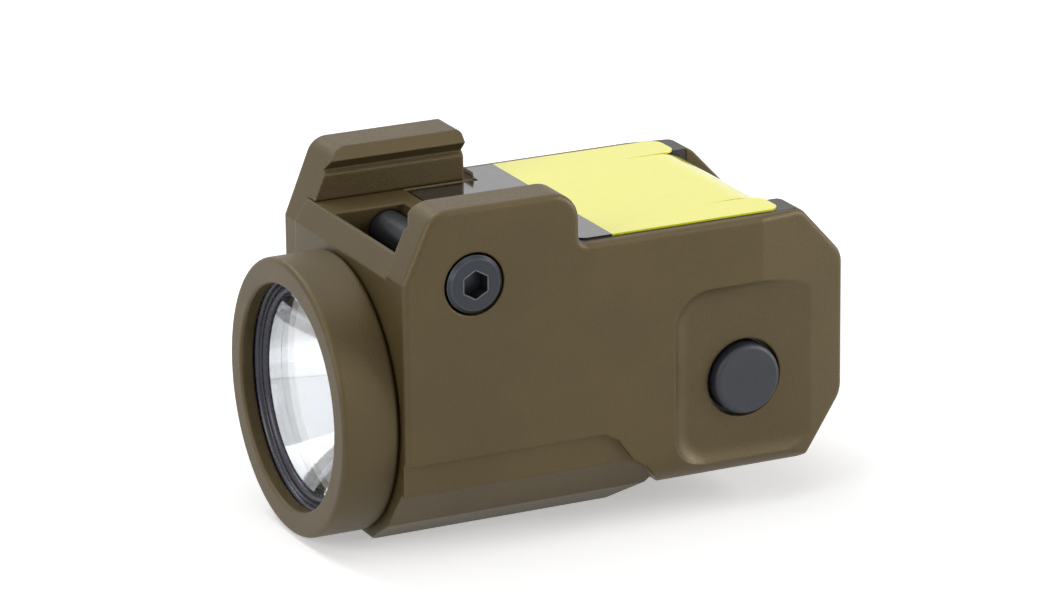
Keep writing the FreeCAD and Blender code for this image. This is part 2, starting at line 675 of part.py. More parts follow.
def make_head():
    """Seal, lens, optic, LED and the heat sink behind them, in a row on the beam axis."""
    make_bezel()
    inside = "bezel_bore / 2 - fit_gap"
    seal = body("bezel_seal")
    turned(seal, [("x_lens + lens_thick", inside), ("x_lip - lip_depth", inside),
                  ("x_lip - lip_depth", "seal_bore / 2"),
                  ("x_lens + lens_thick", "seal_bore / 2")])
    node(seal)
    lens = body("front_lens")
    turned(lens, [("x_lens", inside), ("x_lens + lens_thick", inside),
                  ("x_lens + lens_thick", "0"), ("x_lens", "0")])
    node(lens)
    optic = body("optic")
    turned(optic, [
        ("x_lens", "0"), ("x_lens", inside), ("x_lens - 0.8", inside),
        ("x_lens - 0.8", "optic_bore / 2 - 0.5"), ("x_lens - 2.4", "optic_bore / 2 - 1.0"),
        ("x_lens - 5", "optic_bore / 2 - 2.2"), ("x_lens - 8", "optic_bore / 2 - 3.9"),
        ("x_lens - 10.4", "optic_bore / 2 - 5.6"), ("x_optic", "optic_tail_dia / 2"),
        ("x_optic", "emitter_side * 0.75"), ("x_optic + 3.2", "emitter_side * 0.66"),
        ("x_optic + 3.7", "0"),
    ])
    node(optic)
    board = "x_sink + sink_thick"
    outer = "optic_bore / 2 - 0.2"
    holder = body("optic_holder")
    turned(holder, [
        (f"{board} + board_thick", "optic_tail_dia / 2 + 3.2"),
        (f"{board} + board_thick", "optic_tail_dia / 2 + 0.5"),
        ("x_optic + 0.3", "optic_tail_dia / 2 + 0.5"),
        ("x_optic + 0.3", "optic_tail_dia / 2 + 3.2"),
    ])
    node(holder)
    node(rod("led_board", "X", (board, "0", "axis_height"), "optic_bore - 3", "board_thick"))
    middle = "emitter_side / 2"
    node(block("led_emitter", (f"{board} + board_thick", f"-{middle}", f"axis_height - {middle}"),
               (f"{board} + board_thick + emitter_thick - 0.2", middle,
                f"axis_height + {middle}")))
    sink = rod("sink", "X", ("x_sink", "0", "axis_height"), f"2 * ({outer})", "sink_thick")
    holes = [rod("way", "X", ("x_sink - 1", f"{sign}wire_y", LEAD_Z), "wire_dia + 0.4",
                 "sink_thick + 2") for sign in ("", "-")]
    node(minus("heat_sink", sink, union("ways", holes)))
    leads = [rod("lead", "X", ("x_cavity - 3", f"{sign}wire_y", LEAD_Z), "wire_dia",
                 "x_sink + sink_thick - x_cavity + 3") for sign in ("", "-")]
    node(group("led_leads", leads))
    torus = doc.addObject("Part::Torus", "Torus")
    torus.Placement = FreeCAD.Placement(FreeCAD.Vector(), FreeCAD.Rotation(*TURNS["X"]))
    node(bound(torus, "head_o_ring", Radius1="spigot_dia / 2 - 0.3", Radius2="0.4",
               Placement__Base__x="x_bezel - 1.45", Placement__Base__z="axis_height"))


# ---------------------------------------------------------------- the cover

def make_cover():
    """Insert in the top, with a round-backed skirt that fills the gap between the horns."""
    owner = body("top_cover")
    plate = sketch(owner, "XY_Plane", "z_ledge")
    outline(plate, [
        ("x_cover_end", "-cover_width / 2"),
        ("x_cover", "-cover_width / 2"), ("x_cover", "-cover_nose_width / 2"),
        ("x_nose", "-cover_nose_width / 2"),
        ("x_nose", "cover_nose_width / 2"),
        ("x_cover", "cover_nose_width / 2"), ("x_cover", "cover_width / 2"),
        ("x_cover_end", "cover_width / 2"),
    ])
    pad(owner, plate, "z_cover - z_ledge")
    nose = size("x_nose")

    def nose_corner(edge):
        box = edge.BoundBox
        return box.XLength < 0.01 and box.YLength < 0.01 and near(box.XMin, nose)

    soften(owner, "Fillet", "1.6", nose_corner)
    skirt = sketch(owner, "XZ_Plane")
    back = "x_tail + 1.7"
    outline(skirt, [
        ("x_cavity_end + 6", "z_ledge + 0.4"), ("x_cavity_end + 3.4", "z_cover"),
        (f"{back} + 5.6", "z_cover"), (back, "z_cover - 5.6"),
        (back, "wall_top - roll_drop + fit_gap"),
        ("x_cavity_end + 0.8", "wall_top - roll_drop + fit_gap"),
        ("x_cavity_end + 0.8", "z_ledge - 1.6"), ("x_cavity_end + 3", "z_ledge + 0.4"),
    ])
    pad(owner, skirt, "horn_gap - 2 * fit_gap", both=True)
    cut = sketch(owner, "XZ_Plane")
    outline(cut, [(f"{back} + 5.6", "z_cover"), (f"{back} + 5.6", "z_cover + 1"),
                  (f"{back} - 1", "z_cover + 1"), (f"{back} - 1", "z_cover - 6.6")])
    pocket(owner, cut, "horn_gap - 2 * fit_gap", both=True)
    soften(owner, "Fillet", "5.5", lambda e: along_y(e, size("x_tail") + 7.3, size("z_cover")))
    plain = owner.Shape.copy()
    for dia, bottom in (("small_screw_dia + 0.4", "z_ledge - 1"),
                        ("small_head_dia + 0.3", HEAD_SEAT)):
        holes = sketch(owner, "XY_Plane", bottom)
        for across, along in LUGS:
            circle(holes, across, along, dia)
        pocket(owner, holes, "cover_thick + 3", reverse=True)
    node(owner)
    return plain


HEAD_SEAT = "z_cover - small_head_thick - 0.25"


def make_film(plain):
    """Thin film on the cover: two side tongues, and a middle one that rolls down the back."""
    thick = size("film_thick")
    raised = plain.translated(FreeCAD.Vector(-0.7 * thick, 0, thick)).cut(plain)
    half, slit = size("cover_width") / 2 - 0.25, size("horn_gap") / 2 - 1.3
    rear, low = size("x_cover_end"), size("z_cover") - 6.2
    nose = size("x_nose")
    tall = size("film_thick") + 8
    start = rear + 5
    strip = Part.makeBox(nose - 0.4 - start, 2 * half, tall, FreeCAD.Vector(start, -half, low))
    back = size("x_tail") + 1
    middle = Part.makeBox(start - back + 1, 2 * slit, tall, FreeCAD.Vector(back, -slit, low))
    tongue = half - slit - 0.8
    sides = [Part.makeBox(4.6, tongue, tall, FreeCAD.Vector(rear + 1.4, y, low))
             for y in (-half, slit + 0.8)]
    plan = strip.fuse([middle] + sides)
    film = doc.addObject("Part::Feature", "Film")
    film.Shape = raised.common(plan).removeSplitter()
    film.Label = "cover_film"
    node(film)


def small_screws(label, places, seat, length):
    """Four small pan-head screws, each a head and a shank."""
    screws = []
    for across, along in places:
        head = rod("head", "Z", (across, along, seat), "small_head_dia", "small_head_thick")
        shank = rod("shank", "Z", (across, along, f"{seat} - ({length})"), "small_screw_dia",
                    f"{length} + 0.2")
        screws.append(union("screw", [head, shank]))
    node(group(label, screws))


def make_cover_trim():
    """Gasket on the seat and the screws that hold the cover down."""
    wide = block("wide", ("x_cover_end", "-cover_width / 2", "z_seat"),
                 ("x_cover", "cover_width / 2", "z_ledge"))
    nose = block("nose", ("x_ear - 3", "-cover_nose_width / 2", "z_seat"),
                 ("x_nose", "cover_nose_width / 2", "z_ledge"))
    inner = block("inner", ("x_cavity_end - 5", "-(y_cavity - 0.6)", "z_seat - 1"),
                  ("x_cavity + 0.6", "y_cavity - 0.6", "z_ledge + 1"))
    pegs = [rod("way", "Z", (across, along, "z_seat - 1"), "small_screw_dia + 0.4", "3")
            for across, along in LUGS]
    pads = [rod("pad", "Z", (across, along, "z_seat"), "column_dia", "gasket_thick")
            for across, along in LUGS]
    frame = minus("frame", union("sheet", [wide, nose]), inner)
    node(minus("cover_gasket", union("seal", [frame] + pads), union("ways", pegs)))
    small_screws("cover_screws", LUGS, HEAD_SEAT, "4.6")


# ---------------------------------------------------------------- the clamp

def make_jaw():
    """Plate with a vee that grips the rail's edge; it slides out along -Y."""
    section = body("jaw_section")
    drawn = sketch(section, "YZ_Plane", "x_jaw_end")
    outline(drawn, [
        ("-half_w", "jaw_bottom"), ("-half_w", "ear_top"),
        ("-(jaw_wall_y + 0.6)", "ear_top"),
        ("-(jaw_wall_y - lip_over)", "vee_z + vee_half"),
        ("-(jaw_wall_y + vee_depth)", "vee_z"),
        ("-jaw_wall_y", "vee_z - vee_depth"), ("-jaw_wall_y", "deck_top + fit_gap"),
        ("-(y_seam + fit_gap / 2)", "deck_top + fit_gap"),
        ("-(y_seam + fit_gap / 2)", "jaw_bottom"),
    ])
    pad(section, drawn, "jaw_len")
    side = body("jaw_side")
    view = sketch(side, "XZ_Plane", "half_w - 9")
    outline(view, [
        ("x_jaw", "jaw_bottom"), ("x_jaw", "lean_start - 0.8"),
        ("x_jaw - lean_run", "ear_top"), ("x_jaw_end", "ear_top"),
        ("x_jaw_end", "jaw_bottom"),
    ])
    pad(side, view, "9")
    soften(side, "Fillet", "2.2", lambda e: along_y(e, size("x_jaw") - size("lean_run"),
                                                    size("ear_top")))
    soften(side, "Fillet", "0.5", lambda e: along_y(e, size("x_jaw_end"), size("ear_top")))

    def outside(edge):
        box = edge.BoundBox
        return box.YLength < 0.01 and near(box.YMin, -size("half_w"))

    soften(side, "Fillet", "rim_round", outside)
    plate = doc.addObject("Part::Common", "Plate")
    plate.Base = section
    plate.Tool = side
    ways = [rod("way", "Y", ("screw_x", "-half_w - 1", "screw_z"), "screw_dia + 2 * run_gap",
                "jaw_thick + 9")]
    for across in PIN_PLACES:
        ways.append(rod("way", "Y", (across, "-(half_w - 1)", "jaw_bottom + pin_drop"),
                        "pin_dia + 2 * run_gap", "jaw_thick + 1"))
    node(minus("clamp_jaw", plate, union("ways", ways)))
    pins = [rod("pin", "Y", (across, "-(half_w - 1 - fit_gap)", "jaw_bottom + pin_drop"),
                "pin_dia", "pin_len - 1") for across in PIN_PLACES]
    node(group("guide_pins", pins))


def make_screw():
    """Cross bolt with a hex socket; its tip threads into the jaw."""
    owner = body("clamp_screw")
    shank = sketch(owner, "XZ_Plane", "half_w - 0.5")
    circle(shank, "screw_x", "screw_z", "screw_dia")
    pad(owner, shank, "2 * half_w - 0.5 + screw_proud - screw_head_len / 2", reverse=True)
    head = sketch(owner, "XZ_Plane", "-(half_w + screw_proud)")
    circle(head, "screw_x", "screw_z", "screw_head_dia")
    pad(owner, head, "screw_head_len")
    top = size("half_w") + size("screw_proud")

    def brim(edge):
        box = edge.BoundBox
        return round_hole(edge) and near(box.YMin, top) and box.YLength < 0.01

    soften(owner, "Chamfer", "0.35", brim)
    socket = sketch(owner, "XZ_Plane", "-(half_w + screw_proud)")
    flat, point = "hex_flats / 2", "hex_flats * 0.57735"
    outline(socket, [
        (f"screw_x - {flat}", f"screw_z - {point} / 2"), ("screw_x", f"screw_z - {point}"),
        (f"screw_x + {flat}", f"screw_z - {point} / 2"),
        (f"screw_x + {flat}", f"screw_z + {point} / 2"), ("screw_x", f"screw_z + {point}"),
        (f"screw_x - {flat}", f"screw_z + {point} / 2"),
    ])
    pocket(owner, socket, "hex_depth", reverse=True)
    node(owner)


# ---------------------------------------------------------------- buttons and switches

def make_button(name, side):
    """Cap with a flange inside the wall, its seal ring, and the switch it presses."""
    mark = "" if side > 0 else "-"
    owner = body(f"{name}_button")
    cap = sketch(owner, "XZ_Plane", f"-({mark}(y_recess + button_proud))")
    circle(cap, "button_x", "button_z", "button_dia")
    pad(owner, cap, "y_recess + button_proud - y_flange + flange_thick / 2", reverse=side < 0)
    top = size("y_recess") + size("button_proud")

    def crown(edge):
        box = edge.BoundBox
        return round_hole(edge) and near(abs(box.YMin), top) and box.YLength < 0.01

    soften(owner, "Fillet", "button_round", crown)
    brim = sketch(owner, "XZ_Plane", f"-({mark}y_flange)")
    circle(brim, "button_x", "button_z", "button_flange")
    pad(owner, brim, "flange_thick", reverse=side < 0)
    node(owner)
    low = "y_flange + fit_gap" if side > 0 else "-(y_flange + fit_gap + seal_ring_thick)"
    node(ring(f"{name}_button_seal", "Y", ("button_x", low, "button_z"), "seal_ring_dia",
              "button_dia + 2 * run_gap", "seal_ring_thick"))
    inner, outer = "cell_width / 2 + 0.3", "cell_width / 2 + 0.3 + switch_board_thick"
    reach = "1.75"

    def across_side(label, start, end, half):
        low_y, high_y = (start, end) if side > 0 else (f"-({end})", f"-({start})")
        return block(label, (f"button_x - {half}", low_y, f"button_z - {half}"),
                     (f"button_x + {half}", high_y, f"button_z + {half}"))

    low_y, high_y = (inner, outer) if side > 0 else (f"-({outer})", f"-({inner})")
    node(block(f"{name}_switch_board", ("button_x - 3.2", low_y, "button_z - 3.4"),
               ("button_x + 3.2", high_y, "main_board_z")))
    case = across_side("case", outer, f"{outer} + 1.5", reach)
    stem_low = f"{outer} + 1.4" if side > 0 else "-(y_flange - flange_thick - 0.6)"
    stem = rod("stem", "Y", ("button_x", stem_low, "button_z"), "1.8",
               f"y_flange - flange_thick - 0.6 - ({outer} + 1.4)")
    node(union(f"{name}_switch", [case, stem]))


# ---------------------------------------------------------------- inside the cavity

def make_inside():
    """Cell on its pad, the main board on its columns, and the charging contacts."""
    half = "cell_width / 2"
    node(block("battery_pad", ("x_cell", f"-{half}", "z_floor"),
               ("x_cell + cell_len", half, "z_cell")))
    cell_box = block("battery_cell", ("x_cell", f"-{half}", "z_cell"),
                     ("x_cell + cell_len", half, "z_cell + cell_thick"))
    node(cell_box)
    tabs = [block("tab", ("x_cell + cell_len", f"{low}", "z_cell + 3"),
                  ("x_cell + cell_len + 0.3", f"{low} + 3", "main_board_z"))
            for low in ("-5.5", "2.5")]
    node(group("battery_tabs", tabs))
    sheet_box = block("sheet", ("x_cavity_end + 0.3", "-(y_cavity - 0.3)", "main_board_z"),
                      ("x_cavity - 0.3", "y_cavity - 0.3", "main_board_z + board_thick"))
    holes = [rod("hole", "Z", (across, along, "main_board_z - 1"), "small_screw_dia + 0.4",
                 "board_thick + 2") for across, along in COLUMNS]
    node(minus("main_board", sheet_box, union("holes", holes)))
    small_screws("board_screws", COLUMNS, BOARD_TOP, "3.6")
    chips = [
        ("coil", -14.0, -3.0, 6.0, 6.0, 2.8), ("controller", -4.5, -2.0, 4.0, 4.0, 0.9),
        ("capacitor", -15.0, 5.0, 3.2, 2.5, 1.6), ("capacitor", -15.0, -8.0, 3.2, 2.5, 1.6),
        ("transistor", -6.0, 5.5, 3.0, 3.0, 1.1), ("diode", -6.0, -8.0, 2.6, 1.6, 1.0),
    ]
    parts = [block(name, (f"{x}", f"{y}", BOARD_TOP),
                   (f"{x} + {long}", f"{y} + {wide}", f"{BOARD_TOP} + {tall}"))
             for name, x, y, long, wide, tall in chips]
    node(group("driver_parts", parts))
    contacts = [rod("contact", "Z", ("port_x", f"{sign}contact_pitch / 2", "tail_bottom + 0.1"),
                    "contact_dia", "floor_thick - 0.1") for sign in ("", "-")]
    wells = [rod("well", "Z", ("port_x", f"{sign}contact_pitch / 2", "tail_bottom - 1"),
                 "contact_dia", "floor_thick + 2") for sign in ("", "-")]
    magnets = [rod("magnet", "Z", (f"port_x {sign} 2.6", "0", "z_floor - 1.2"), "2.2", "1.2")
               for sign in ("+", "-")]
    rooms = [rod("room", "Z", (f"port_x {sign} 2.6", "0", "z_floor - 1.2"), "2.2", "2.2")
             for sign in ("+", "-")]
    disc = rod("disc", "Z", ("port_x", "0", "tail_bottom + 0.1"), "port_dia",
               "floor_thick - 0.1")
    node(minus("charge_port", disc, union("rooms", wells + rooms)))
    node(group("charge_contacts", contacts))
    node(group("charge_magnets", magnets))


BOARD_TOP = "main_board_z + board_thick"

make_head()
make_film(make_cover())
make_cover_trim()
make_jaw()
make_screw()
for side_name, side_sign in SIDES.items():
    make_button(side_name, side_sign)
make_inside()
doc.recompute()


# ---------------------------------------------------------------- check and write

def check_document():
    for made in doc.Objects:
        if "Invalid" in made.State or "Error" in made.State:
            raise RuntimeError(f"{made.Label} failed: {made.getStatusString()}")
    for made in NODES:
        if made.Shape.isNull() or not made.Shape.isValid():
            raise RuntimeError(f"{made.Label} has no valid shape")


def write_nodes():
    os.makedirs("parts", exist_ok=True)
    for made in NODES:
        made.Shape.exportStep(f"parts/{made.Label}.step")
        box = made.Shape.BoundBox
        print(f"{made.Label:20s} {len(made.Shape.Solids)} {made.Shape.Volume:9.2f} "
              f"x {box.XMin:7.2f} {box.XMax:7.2f} y {box.YMin:7.2f} {box.YMax:7.2f} "
              f"z {box.ZMin:6.2f} {box.ZMax:6.2f}")


check_document()
write_nodes()
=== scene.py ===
"""Finishes, head parts and stage for a compact rail-mounted light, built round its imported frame."""

import math

import bmesh
import bpy
from bpy.props import FloatProperty, FloatVectorProperty, PointerProperty
from mathutils import Matrix, Vector


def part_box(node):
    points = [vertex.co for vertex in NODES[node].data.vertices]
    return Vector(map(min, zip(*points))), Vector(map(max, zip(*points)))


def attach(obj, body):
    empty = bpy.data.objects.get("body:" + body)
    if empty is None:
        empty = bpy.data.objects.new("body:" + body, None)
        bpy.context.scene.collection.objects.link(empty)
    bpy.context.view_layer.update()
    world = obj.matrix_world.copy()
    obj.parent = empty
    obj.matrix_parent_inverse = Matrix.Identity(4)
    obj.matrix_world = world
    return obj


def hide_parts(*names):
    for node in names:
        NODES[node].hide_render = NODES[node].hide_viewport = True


bl_info = {
    "name": "Rail Light",
    "version": (1, 0, 0),
    "blender": (4, 5, 0),
    "location": "View3D > Sidebar > Rail Light",
    "description": "Finishes, head parts and stage of a compact rail-mounted light",
    "category": "Object",
}

MM = 0.001
FULL_TURN = 2 * math.pi
BACK_SLOPE = math.radians(45)
GRAINS_PER_PATCH = 60.0
SEGMENTS = 128
VALUE = "NodeSocketFloat"
VECTOR = "NodeSocketVector"

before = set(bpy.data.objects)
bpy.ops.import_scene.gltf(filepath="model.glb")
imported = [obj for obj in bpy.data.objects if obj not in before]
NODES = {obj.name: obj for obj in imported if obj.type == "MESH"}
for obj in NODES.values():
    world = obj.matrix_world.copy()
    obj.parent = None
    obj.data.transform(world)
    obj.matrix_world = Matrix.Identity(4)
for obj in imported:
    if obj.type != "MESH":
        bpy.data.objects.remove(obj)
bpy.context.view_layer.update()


def srgb(red, green, blue):
    """The linear colour of a screen colour given as 0 to 255."""
    def linear(part):
        part /= 255
        return part / 12.92 if part <= 0.04045 else ((part + 0.055) / 1.055) ** 2.4
    return tuple(linear(part) for part in (red, green, blue))


def colour(name, text, red, green, blue):
    """A colour property with a screen colour as its default."""
    return FloatVectorProperty(name=name, description=text, subtype="COLOR", size=3,
                               min=0, max=1, default=srgb(red, green, blue))


def length(name, text, millimetres):
    """A length property, its default given in millimetres."""
    return FloatProperty(name=name, description=text, unit="LENGTH", default=millimetres * MM,
                         precision=5)


# ---------------------------------------------------------------- settings

class ShellSettings(bpy.types.PropertyGroup):
    """Anodised finish of the housing, bezel and clamp jaw."""
    bronze: colour("Bronze", "Colour of the anodised metal", 87, 73, 42)
    bronze_dark: colour("Bronze, dark patches", "Darker tone of the anodised metal", 79, 66, 37)
    # Colour of the painted highlight along the rounded edges, standing in for the light that they
    # catch
    painted_highlight_bronze: colour("Bronze at edges", "Tone of the metal along its rounded edges", 133, 111, 71)
    grain: length("Blast grain", "Size of the grain that blasting leaves", 0.16)
    roughening: FloatProperty(name="Roughening", description="Strength of the blasted grain",
                              default=0.22)
    # How far the painted edge highlight reaches from a corner
    painted_highlight_reach: length("Edge reach", "How far the lighter edge reaches from a corner", 0.25)
    corner: length("Soft corner", "Radius that the finish gives to sharp corners", 0.35)


class HeadSettings(bpy.types.PropertyGroup):
    """Seal, lens, optic and emitter in the bezel."""
    seal: colour("Seal", "Colour of the rubber ring round the lens", 40, 41, 54)
    seal_bore: length("Seal bore", "Radius of the opening in the rubber ring", 10.1)
    lens_edge: length("Lens bevel", "Size of the ground bevel round the lens", 0.25)
    mouth: length("Reflector mouth", "Radius of the polished cup at its front", 11.3)
    throat: length("Reflector throat", "Radius of the polished cup at the emitter", 3.6)
    cup_wall: length("Reflector wall", "Thickness of the polished cup's wall", 0.5)
    dome: length("Emitter dome", "Radius of the emitter's clear dome", 1.35)


class CoverSettings(bpy.types.PropertyGroup):
    """Insert in the housing's top and the blank film on it."""
    insert: colour("Insert", "Colour of the moulded insert", 44, 43, 45)
    film_front: colour("Film, front", "Colour of the film's front field", 34, 34, 38)
    film_rear: colour("Film, rear", "Colour of the film's rear field", 255, 250, 45)
    film_split: length("Field edge", "Place of the edge between the film's two fields", -1.7)
    film_inset: length("Film inset", "Distance from the film's edge to the insert's edge", 0.25)
    film_thick: length("Film thickness", "Thickness of the film", 0.18)
    corner: length("Film corner", "Radius of the film's outer corners", 1.3)
    slit_start: length("Slit start", "Place where the two slits in the film begin", -13.9)
    tongue_end: length("Side tongue end", "Place where the film's side tongues end", -20.4)
    tongue_half: length("Middle tongue", "Half the width of the middle tongue", 8.8)
    slit_half: length("Slit width", "Width that each side of a slit gives up", 0.25)
    nose_half: length("Nose half width", "Half the width of the insert's nose", 9.2)
    nose_len: length("Nose length", "Length of the insert's nose", 7.8)
    overrun: length("Overrun", "How far the flat film passes the insert's back", 1.6)
    strip: length("Strip", "Width of the strips that let the film bend", 0.5)
    roll: length("Back roll", "Radius of the insert's rounded back", 5.5)
    knee: length("Back slope", "Length of the insert's 45 degree back along the beam", 5.6)


class ControlSettings(bpy.types.PropertyGroup):
    """Buttons and clamp screw."""
    button: colour("Button", "Colour of the moulded buttons", 40, 43, 51)
    screw: colour("Clamp screw", "Colour of the blackened screw", 58, 61, 66)


class StageSettings(bpy.types.PropertyGroup):
    """Camera, lamps and floor."""
    azimuth: FloatProperty(name="Azimuth", description="Camera's bearing", unit="ROTATION",
                           default=math.radians(154.284))
    elevation: FloatProperty(name="Elevation", description="Camera's height angle",
                             unit="ROTATION", default=math.radians(18.031))
    roll: FloatProperty(name="Roll", description="Camera's turn about its own axis",
                        unit="ROTATION", default=math.radians(-0.616))
    distance: length("Distance", "From the camera to its target", 549.3)
    target: FloatVectorProperty(name="Target", description="Point that the camera looks at",
                                subtype="XYZ", unit="LENGTH", size=3,
                                default=(4.59 * MM, 8.06 * MM, 22.43 * MM))
    lens: FloatProperty(name="Focal length", description="Camera's focal length in millimetres",
                        default=189.56)
    floor_glow: FloatProperty(name="Floor glow", description="Lift of the floor as the camera sees it",
                              default=0.4)
    ambient: FloatProperty(name="Ambient", description="Strength of the room's even light",
                           default=0.03)
    overhead: FloatProperty(name="Overhead lamp", description="Power of the overhead lamp",
                            unit="POWER", default=1.209)
    lens_side: FloatProperty(name="Lens side lamp", description="Power of the lamp ahead",
                             unit="POWER", default=1.757)
    tail_side: FloatProperty(name="Tail side lamp", description="Power of the lamp behind",
                             unit="POWER", default=3.098)
    far_side: FloatProperty(name="Far side lamp", description="Power of the lamp on the far side",
                            unit="POWER", default=1.451)
    near_side: FloatProperty(name="Near side lamp", description="Power of the lamp by the camera",
                             unit="POWER", default=0.168)


# ---------------------------------------------------------------- shader nodes

def add(tree, kind, sockets=None, **settings):
    """A new node with its settings, and values or links for the sockets named."""
    made = tree.nodes.new(kind)
    for key, value in settings.items():
        setattr(made, key, value)
    for key, value in (sockets or {}).items():
        if isinstance(value, bpy.types.NodeSocket):
            tree.links.new(value, made.inputs[key])
        else:
            made.inputs[key].default_value = value
    return made


def maths(tree, operation, first, second=0.0, clamp=False):
    """The result of a Math node."""
    return add(tree, "ShaderNodeMath", {0: first, 1: second}, operation=operation,
               use_clamp=clamp).outputs[0]


def spread(tree, value, low, high, new_low=0.0, new_high=1.0):
    """A value mapped smoothly from one range to another, and held inside it."""
    return add(tree, "ShaderNodeMapRange",
               {"Value": value, "From Min": low, "From Max": high, "To Min": new_low,
                "To Max": new_high}, interpolation_type="SMOOTHSTEP").outputs["Result"]


def blend_colours(tree, share, first, second):
    """Two colours mixed by a share from 0 to 1."""
    def opaque(tone):
        return tone if isinstance(tone, bpy.types.NodeSocket) else (*tone, 1)
    return add(tree, "ShaderNodeMix", {"Factor": share, 6: opaque(first), 7: opaque(second)},
               data_type="RGBA").outputs[2]


def new_group(name, inputs, outputs, fill):
    """A node group with named inputs and outputs: fill(tree, inputs) returns the outputs in order."""
    tree = bpy.data.node_groups.new(name, "ShaderNodeTree")
    for label in inputs:
        tree.interface.new_socket(label, in_out="INPUT", socket_type="NodeSocketFloat")
    for label, kind in outputs.items():
        tree.interface.new_socket(label, in_out="OUTPUT", socket_type=kind)
    entry = tree.nodes.new("NodeGroupInput")
    leave = tree.nodes.new("NodeGroupOutput")
    for label, result in zip(outputs, fill(tree, entry.outputs)):
        tree.links.new(result, leave.inputs[label])
    return tree


def use_group(tree, name, values, outputs, fill):
    """Places a group, made on its first use, with this material's own values: its outputs."""
    group = bpy.data.node_groups.get(name) or new_group(name, values, outputs, fill)
    return add(tree, "ShaderNodeGroup", values, node_tree=group).outputs


def fill_grain(tree, given):
    """Fine grain with its bump, and broad patches many grains wide."""
    where = add(tree, "ShaderNodeTexCoord").outputs["Object"]
    per_metre = maths(tree, "DIVIDE", 1.0, given["Size"])
    fine = add(tree, "ShaderNodeTexNoise", {"Vector": where, "Scale": per_metre, "Detail": 2.0})
    patch_scale = maths(tree, "DIVIDE", per_metre, GRAINS_PER_PATCH)
    patch = add(tree, "ShaderNodeTexNoise", {"Vector": where, "Scale": patch_scale, "Detail": 4.0})
    bump = add(tree, "ShaderNodeBump",
               {"Strength": given["Strength"], "Distance": given["Size"],
                "Height": fine.outputs["Fac"]})
    return (spread(tree, fine.outputs["Fac"], 0.3, 0.7),
            spread(tree, patch.outputs["Fac"], 0.35, 0.65), bump.outputs["Normal"])


def fill_edge(tree, given):
    """Mask of convex edges, from how near the neighbouring faces lie inside the solid."""
    inside = add(tree, "ShaderNodeAmbientOcclusion", {"Distance": given["Reach"]}, samples=6,
                 inside=True, only_local=True)
    return (spread(tree, inside.outputs["AO"], 0.95, 0.45),)


def fill_soft(tree, given):
    """Normals rounded over the corners within a radius, then roughened by the grain."""
    where = add(tree, "ShaderNodeTexCoord").outputs["Object"]
    rounded = add(tree, "ShaderNodeBevel", {"Radius": given["Radius"]}, samples=6)
    fine = add(tree, "ShaderNodeTexNoise",
               {"Vector": where, "Scale": maths(tree, "DIVIDE", 1.0, given["Size"]),
                "Detail": 2.0})
    bump = add(tree, "ShaderNodeBump",
               {"Strength": given["Strength"], "Distance": given["Size"],
                "Height": fine.outputs["Fac"], "Normal": rounded.outputs["Normal"]})
    return (bump.outputs["Normal"],)


def fill_turned(tree, given):
    """Fine turning lines round an axis along Y, with their bump."""
    where = add(tree, "ShaderNodeTexCoord").outputs["Object"]
    moved = add(tree, "ShaderNodeCombineXYZ", {"X": given["Axis X"], "Z": given["Axis Z"]})
    across = add(tree, "ShaderNodeVectorMath", {0: where, 1: moved.outputs[0]},
                 operation="SUBTRACT")
    parts = add(tree, "ShaderNodeSeparateXYZ", {0: across.outputs[0]})
    squares = [maths(tree, "POWER", parts.outputs[axis], 2.0) for axis in ("X", "Z")]
    radius = maths(tree, "SQRT", maths(tree, "ADD", *squares))
    along = maths(tree, "MULTIPLY", parts.outputs["Y"], 0.3)
    ring = add(tree, "ShaderNodeCombineXYZ", {"X": radius, "Y": along})
    lines = add(tree, "ShaderNodeTexNoise",
                {"Vector": ring.outputs[0], "Scale": given["Lines"], "Detail": 3.0})
    bump = add(tree, "ShaderNodeBump",
               {"Strength": 0.25, "Distance": 0.02 * MM, "Height": lines.outputs["Fac"]})
    return lines.outputs["Fac"], bump.outputs["Normal"]


def grain(tree, size, strength):
    """Grain of a given size in metres: its fine, patch and normal outputs."""
    return use_group(tree, "Surface Grain", {"Size": size, "Strength": strength},
                     {"Fine": VALUE, "Patch": VALUE, "Normal": VECTOR}, fill_grain)


def edge_mask(tree, reach):
    """Mask of the convex edges of the piece."""
    return use_group(tree, "Convex Edge", {"Reach": reach}, {"Mask": VALUE}, fill_edge)["Mask"]


def soft_normal(tree, radius, size, strength):
    """A normal with corners rounded to a radius under a grain of a given size."""
    values = {"Radius": radius, "Size": size, "Strength": strength}
    return use_group(tree, "Soft Corners", values, {"Normal": VECTOR}, fill_soft)["Normal"]


def turning(tree, axis_x, axis_z, lines):
    """Turning lines round an axis along Y: their value and normal outputs."""
    return use_group(tree, "Turning Lines", {"Axis X": axis_x, "Axis Z": axis_z, "Lines": lines},
                     {"Value": VALUE, "Normal": VECTOR}, fill_turned)


def new_material(name, **constants):
    """A material with a Principled shader whose constant sockets are set: its tree and shader."""
    material = bpy.data.materials.new(name)
    material.use_nodes = True
    shader = material.node_tree.nodes["Principled BSDF"]
    for key, value in constants.items():
        shader.inputs[key.replace("_", " ").title().replace("Ior", "IOR")].default_value = value
    return material, material.node_tree, shader


def feed(tree, shader, **links):
    """Links results to the shader's sockets, named in lower case."""
    for key, result in links.items():
        tree.links.new(result, shader.inputs[key.replace("_", " ").title()])


